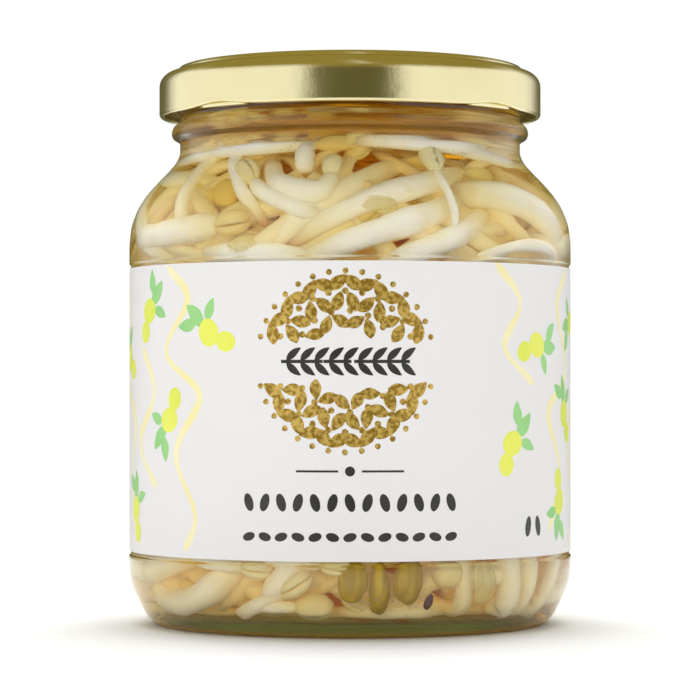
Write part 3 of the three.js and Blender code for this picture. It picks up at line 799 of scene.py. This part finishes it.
def lid_lugs():
    """Four tongues from the hem towards the neck: boxes with rounded tips, bent round the axis."""
    points, faces = [], []
    a = np.linspace(-LUG_HALF, LUG_HALF, 13)
    section = np.array([(LUG_ROOT_R, LID_LOW + 0.1), (32.0, LID_LOW + 0.1), (31.6, 91.7), (LUG_TIP_R, 91.95),
                        (31.7, 92.2), (32.1, LUG_TOP), (LUG_ROOT_R, LUG_TOP)])
    quads = grid_faces(len(a), len(section))
    for turn in LUG_TURNS:
        shorter = 1 - 0.25 * (a[:, None] / LUG_HALF) ** 4
        reach = LUG_ROOT_R - (LUG_ROOT_R - section[:, 0])[None, :] * shorter
        ring = at_turn(np.radians(turn + a)[:, None], reach, section[None, :, 1])
        start = sum(len(part) for part in points)
        end = start + np.arange(len(section))[None]
        faces += [start + quads, end[:, ::-1], end + (len(a) - 1) * len(section)]
        points.append(ring.reshape(-1, 3))
    return np.vstack(points), faces


def lid_materials():
    """Satin gold lacquer outside, and the same tin with a paler coat inside."""
    gold = paint("gold lacquer")
    cloud = gold.noise(60.0, 3.0)
    tint = gold.mix(gold.between(cloud, 0.3, 0.7), (0.77, 0.69, 0.40, 1), (0.82, 0.745, 0.45, 1))
    brushed = gold.noise(900.0, 2.0, gold.place((1, 1, 0.04)))
    peel = gold.bump(gold.noise(1500.0, 2.0) + 3.0 * gold.noise(260.0, 1.0) + 0.6 * brushed, 0.00002, 0.7)
    outside = gold.done(gold.plastic({"Base Color": tint, "Metallic": 1.0, "Roughness": 0.14 + 0.1 * cloud,
                                      "Normal": peel}))
    white = paint("inside lacquer")
    mist = white.noise(80.0, 3.0)
    pale = white.mix(mist, (0.72, 0.66, 0.42, 1), (0.78, 0.72, 0.50, 1))
    return outside, white.done(white.plastic({"Base Color": pale, "Metallic": 0.6, "Roughness": 0.35}))


def lid_cap():
    """The outside line and the inside line under it, turned about the axis as one closed sheet, with its
    dents, its lifted hem and its lugs."""
    outside = smooth_line(LID_OUTSIDE)
    line = np.vstack([outside, smooth_line(LID_INSIDE, 4)])
    points, faces = turned(line, radius_change=lambda turn, z: lug_dents(turn, z) * (z < SKIRT_TOP))
    points[:, 2] += hem_lift(points)
    row = np.concatenate([part.min(1) for part in faces]) // AROUND
    slots = (row > len(outside) + 2).astype(int)
    faces = [part[:, ::-1] for part in faces]
    lugs, lug_faces = lid_lugs()
    slots = np.append(slots, np.zeros(sum(map(len, lug_faces)), int))
    faces += [part + len(points) for part in lug_faces]
    piece = mesh_piece("lid_cap_pressed", np.vstack([points, lugs]), faces, slots=slots)
    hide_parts("lid_cap")
    return dress(piece, "lid_cap", "lid", *lid_materials())


def sealing_ring():
    """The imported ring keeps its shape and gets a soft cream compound."""
    p = paint("sealing compound")
    tone = p.mix(p.noise(300.0, 2.0), (0.80, 0.77, 0.68, 1), (0.86, 0.84, 0.77, 1))
    normal = p.bump(p.noise(900.0), 0.00005)
    soft = p.done(p.plastic({"Base Color": tone, "Roughness": 0.55, "Normal": normal}))
    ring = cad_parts["lid_sealing_ring"]
    ring.data.materials.clear()
    ring.data.materials.append(soft)


# ---- label --------------------------------------------------------------------------------
def paper():
    """Satin white paper with a fine tooth."""
    p = paint("label paper")
    tone = p.mix(p.noise(35.0, 4.0), (0.74, 0.73, 0.735, 1), (0.77, 0.76, 0.765, 1))
    tooth = p.bump(p.noise(2600.0, 2.0) + 0.5 * p.noise(400.0, 2.0), 0.00002, 0.5)
    return p.done(p.plastic({"Base Color": tone, "Roughness": 0.42, "Normal": tooth,
                             "Specular IOR Level": 0.35}))


def label_sleeve():
    """A band round the panel, open at the back, with its two faces and its edges."""
    half = math.pi - LABEL_GAP / 2 / LABEL_R
    steps = 240
    turn = np.linspace(-half, half, steps)[:, None]
    section = np.array([(LABEL_R, LABEL_LOW), (LABEL_R, LABEL_HIGH), (LABEL_R - PAPER, LABEL_HIGH),
                        (LABEL_R - PAPER, LABEL_LOW)])
    points = at_turn(turn, section[None, :, 0], section[None, :, 1]).reshape(-1, 3)
    ends = np.array([np.arange(4), len(points) - 1 - np.arange(4)])
    piece = mesh_piece("label_sleeve", points, [grid_faces(steps, 4)[:, ::-1], ends])
    piece.data.polygons.foreach_set("use_smooth", np.zeros(len(piece.data.polygons), bool))
    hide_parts("paper_label")
    return dress(piece, "paper_label", "jar", paper())


# ---- print on the label ------------------------------------------------------------------
INK_STEP = 0.008
SPINE = (1 - np.cos(np.linspace(0, np.pi, 15))) / 2
PROFILES = {
    "leaf": np.sin(np.pi * SPINE) ** 0.75 * (1.2 - 0.4 * SPINE),
    "oval": np.sqrt(np.clip(1 - (2 * SPINE - 1) ** 2, 0, 1)),
    "bar": np.ones(15),
}
EMBLEM = (-0.8, 47.0)
CLEAR_BAND = 3.9


def printed(name, patches, colour, layer):
    """One colour of ink: patches of [along, height] points, each a grid, laid on the label."""
    points, faces, start = [], [], 0
    for patch in patches:
        count, rows, columns, _ = patch.shape
        flat = at_turn(patch[..., 0] / LABEL_R, LABEL_R + INK_STEP * layer, patch[..., 1])
        quads = grid_faces(rows, columns, closed=False)[:, ::-1]
        first = start + (np.arange(count) * rows * columns)[:, None, None]
        faces.append((first + quads).reshape(-1, 4))
        points.append(flat.reshape(-1, 3))
        start += count * rows * columns
    piece = mesh_piece(name, np.vstack(points), faces)
    return dress(piece, "paper_label", "jar", colour)


def strokes(rows, profile):
    """Shapes from [along, height, length, lean, bend, half width].

    The spine's direction turns by the bend from end to end, and the profile widens it to both sides.
    """
    s, z, length, lean, bend, half = (part[:, None] for part in np.array(rows, float).T)
    middle = (SPINE[1:] + SPINE[:-1]) / 2
    way = np.radians(lean + bend * (middle - 0.5))
    walk = lambda part: np.hstack([0 * s, np.cumsum(part * np.diff(SPINE), axis=1)])
    x, y = walk(np.cos(way)), walk(np.sin(way))
    x, y = s + length * (x - x[:, 7:8]), z + length * (y - y[:, 7:8])
    way = np.radians(lean + bend * (SPINE - 0.5))
    side = np.linspace(-1, 1, 5) * (half * PROFILES[profile])[..., None]
    x, y, way = x[..., None], y[..., None], way[..., None]
    return np.stack([x - side * np.sin(way), y + side * np.cos(way)], -1)


def ribbon(points, half):
    """A band of even width along a smooth line through points, tapered at both ends."""
    line = smooth_line(points, 14)
    way = np.gradient(line, axis=0)
    way /= np.linalg.norm(way, axis=1, keepdims=True)
    u = np.linspace(0, 1, len(line))
    wide = half * (0.8 + 0.2 * np.sin(14 * u)) * ease(u / 0.04) * ease((1 - u) / 0.04)
    side = (np.linspace(-1, 1, 3)[None] * wide[:, None])[..., None]
    return (line[:, None] + side * np.stack([-way[:, 1], way[:, 0]], -1)[:, None])[None]


def ring_of(count, radius, lean, length, half, shift=0.0):
    """Strokes evenly round the emblem, left out where they would enter its clear band."""
    a = np.arange(count) * 2 * np.pi / count + shift
    s, z = EMBLEM[0] + radius * np.cos(a), EMBLEM[1] + radius * np.sin(a)
    way = np.degrees(a) + lean * (-1) ** np.arange(count)
    rows = np.stack([s, z, 0 * a + length, way, 0 * a + 25, 0 * a + half], -1)
    return rows[np.abs(z - EMBLEM[1]) > CLEAR_BAND]


def sprig_of(s, z, lean):
    """Two berries and three leaves on a twig: [berries, leaves]."""
    a = np.radians(lean)
    at = lambda far, up: (s + far * np.cos(a) - up * np.sin(a), z + far * np.sin(a) + up * np.cos(a))
    berries = [(*at(0, 0), 4.9, lean, 0, 2.15), (*at(-2.7, -2.9), 4.0, lean + 60, 0, 1.75)]
    leaves = [(*at(3.9, 1.8), 5.6, lean + 25, 30, 1.35), (*at(2.9, 4.3), 4.6, lean + 80, -30, 1.15),
              (*at(3.7, -1.6), 4.2, lean - 40, -20, 1.0)]
    return berries, leaves


def ink(name, colour, fleck, scale=120.0, rough=0.42, metal=0.0):
    """A flat colour with flecks of a second one."""
    p = paint(name)
    tone = p.mix(p.between(p.noise(scale, 3.0), 0.38, 0.62), colour, fleck)
    return p.done(p.plastic({"Base Color": tone, "Roughness": rough, "Metallic": metal}))


# Tendrils as points along the label and in height, and sprigs as along, height and lean.
TENDRILS = [
    [(-60, 64), (-55, 55), (-58, 45), (-50, 36), (-53, 27), (-47, 14)],
    [(-37, 64), (-31, 58), (-37, 49), (-28, 41), (-34, 31), (-29, 20), (-32, 14)],
    [(-46, 50), (-41, 42), (-47, 33), (-40, 25)],
    [(52, 64), (46, 57), (51, 46), (42, 38), (47, 28), (42, 17)],
    [(27, 64), (33, 57), (29, 50), (37, 43)],
    [(58, 40), (53, 32), (58, 24), (55, 14)],
]
SPRIGS = [(-43, 56.0, 20), (-55.5, 48, 100), (-36, 37, 200), (-50, 21, 60), (-26, 52, 110), (38, 50, -30),
          (50, 38, 75), (31, 33, 20), (56, 54, 160), (47, 22.5, 230)]
REPEAT = 58.0  # along the label, from the tendrils and sprigs beside the round to the same ones further back


def label_print():
    """A gold round of leaves with a dark sprig across it, rows of dark beans under it, and pale tendrils
    with berry twigs at both sides."""
    pale = ink("pale yellow ink", (0.85, 0.77, 0.38, 1), (0.86, 0.80, 0.48, 1))
    further = [[(s + math.copysign(REPEAT, s), z) for s, z in path] for path in TENDRILS]
    printed("label_tendrils", [ribbon(path, 0.8) for path in TENDRILS + further], pale, 1)
    twigs = [sprig_of(s + shift, z, lean) for s, z, lean in SPRIGS for shift in (0, math.copysign(REPEAT, s))]
    green = ink("leaf green ink", (0.24, 0.56, 0.17, 1), (0.30, 0.62, 0.22, 1), 60.0)
    printed("label_leaves", [strokes(sum((t[1] for t in twigs), []), "leaf")], green, 2)
    lime = ink("lime ink", (0.66, 0.74, 0.05, 1), (0.76, 0.80, 0.10, 1), 60.0)
    printed("label_berries", [strokes(sum((t[0] for t in twigs), []), "oval")], lime, 3)
    gold = ink("gold foil ink", (0.28, 0.16, 0.012, 1), (0.62, 0.43, 0.10, 1), 1400.0, 0.36, 0.45)
    leaves = [ring_of(34, 13.4, 58, 4.0, 1.1), ring_of(26, 10.2, 30, 3.7, 1.05),
              ring_of(17, 6.9, 50, 3.5, 1.0, 0.2)]
    dots = [ring_of(34, 15.3, 0, 1.0, 0.5, 0.09), ring_of(26, 11.9, 0, 1.1, 0.55, 0.12),
            ring_of(17, 8.6, 0, 1.1, 0.55)]
    wreath = [strokes(np.vstack(leaves), "leaf"), strokes(np.vstack(dots), "oval")]
    printed("label_round", wreath, gold, 2)

    dark = ink("dark ink", (0.018, 0.016, 0.015, 1), (0.028, 0.025, 0.023, 1))
    pairs = [(EMBLEM[0] + 2.45 * i + 0.9, EMBLEM[1] + side * 1.35, 3.4, side * 42, -side * 25, 0.62)
             for i in range(-4, 5) for side in (-1, 1)]
    beans = [(2.95 * i, 23.2, 3.1, 90 + 16 * (-1) ** i, 0, 0.82) for i in range(-6, 7)]
    small = [(2.95 * i, 17.4, 2.3, 16 * (-1) ** i, 20, 0.72) for i in range(-6, 7)]
    specks = [(0, 28.5, 1.7, 0, 0, 0.85), (35.2, 18.6, 3.6, 80, 0, 0.8), (38.2, 18.6, 3.6, 100, 0, 0.8)]
    rules = [(-5.6, 28.5, 7.2, 0, 0, 0.18), (5.6, 28.5, 7.2, 0, 0, 0.18), (*EMBLEM, 22, 0, 0, 0.28)]
    shapes = [strokes(pairs, "leaf"), strokes(beans + small + specks, "oval"), strokes(rules, "bar")]
    printed("label_rules", shapes, dark, 2)


# ---- studio -------------------------------------------------------------------------------
CAMERA_AWAY, CAMERA_Z, FOCAL_PX, PITCH = 532.0, 42.7, 2927.0, 0.724


def soft_light(name, place, size, power):
    """A square lamp that faces the middle of the jar and shows in no reflection."""
    lamp = bpy.data.lights.new(name, "AREA")
    lamp.size, lamp.energy = size, power
    lit = bpy.data.objects.new(name, lamp)
    bpy.context.scene.collection.objects.link(lit)
    lit.location = place
    away = mathutils.Vector(place) - mathutils.Vector((0, 0, 0.05))
    lit.rotation_euler = away.to_track_quat("Z", "Y").to_euler()
    lit.visible_glossy = lit.visible_transmission = lit.visible_camera = False


def studio():
    """A white floor under a dark amber sky with a bright panel on each side, one behind for the rays
    that pass through glass alone, and a narrow one high at the front for all others."""
    side = 4.0
    corners = np.array([(-side, -side, 0), (side, -side, 0), (side, side, 0), (-side, side, 0)]) / MM
    floor = mesh_piece("floor", corners - (0, 0, 0.02), [np.arange(4)[None]])
    p = paint("white table")
    grain = p.mix(p.noise(6.0), (0.835, 0.84, 0.85, 1), (0.845, 0.85, 0.86, 1))
    table = p.plastic({"Base Color": grain, "Roughness": 0.6, "Specular IOR Level": 0.2})
    away = p.node("VectorMath", {"operation": "LENGTH"}, {0: p.place()}, out=1)
    air = p.node("BsdfTransparent", {}, {"Color": (1, 1, 1, 1)})
    fading = p.node("MixShader", {}, {0: p.between(away, 0.16, 0.4), 1: table, 2: air})
    floor.data.materials.append(p.done(fading))
    soft_light("front lamp", (-0.2, -1.35, 0.2), 0.8, 6.6)
    soft_light("top lamp", (0.0, 0.35, 1.25), 1.0, 22.5)

    world = bpy.data.worlds.new("studio")
    bpy.context.scene.world = world
    sky = Paint(world)
    way = sky.node("SeparateXYZ", {}, {0: sky.node("TexCoord")})
    x, y, z = (Value(sky, way.socket.node.outputs[k]) for k in range(3))
    turn = sky.math("ARCTAN2", x, 0 - y) * (180 / math.pi)
    left = sky.between(0 - turn, 18, 33) * (1 - sky.between(0 - turn, 126, 148))
    right = sky.between(turn, 20, 36) * (1 - sky.between(turn, 130, 158))
    low = 1 - sky.between(z, 0.42, 0.68)
    path = sky.node("LightPath")
    kinds = path.socket.node.outputs
    shiny, through = Value(sky, kinds["Is Glossy Ray"]), Value(sky, kinds["Is Transmission Ray"])
    behind = sky.between(sky.math("ABSOLUTE", turn), 158, 168) * (1 - sky.between(z, 0.25, 0.45)) * through
    glint = sky.between(z, 0.6, 0.7) * sky.between(turn, 2, 6)
    glint = glint * (1 - sky.between(turn, 12, 18)) * (1 - through)
    panels = (left + right) * low + behind + 0.5 * glint
    amber = sky.mix(sky.between(z, 0.1, 0.7), (0.12, 0.115, 0.045, 1), (0.33, 0.27, 0.07, 1))
    dark = sky.mix(through, sky.mix(shiny, (0.23, 0.216, 0.165, 1), amber), (0.20, 0.136, 0.047, 1))
    lit = sky.mix(panels, dark, (1.1, 1.1, 1.1, 1))
    seen = sky.mix(path, lit, (1.02, 1.02, 1.02, 1))
    background = sky.node("Background", {}, {"Color": seen, "Strength": 1.0})
    sky.node("OutputWorld", {}, {"Surface": background})

    camera = bpy.data.objects.new("camera", bpy.data.cameras.new("camera"))
    bpy.context.scene.collection.objects.link(camera)
    camera.location = (0, -CAMERA_AWAY * MM, CAMERA_Z * MM)
    camera.rotation_euler = (math.radians(90 + PITCH), 0, 0)
    camera.data.sensor_width = 36
    camera.data.lens = FOCAL_PX * 36 / 700
    bpy.context.scene.camera = camera
    bpy.context.scene.view_settings.view_transform = "Standard"


studio()
jar_glass()
brine_body()
sprouts()
seed_coats()
bubbles()
lid_cap()
sealing_ring()
label_sleeve()
label_print()
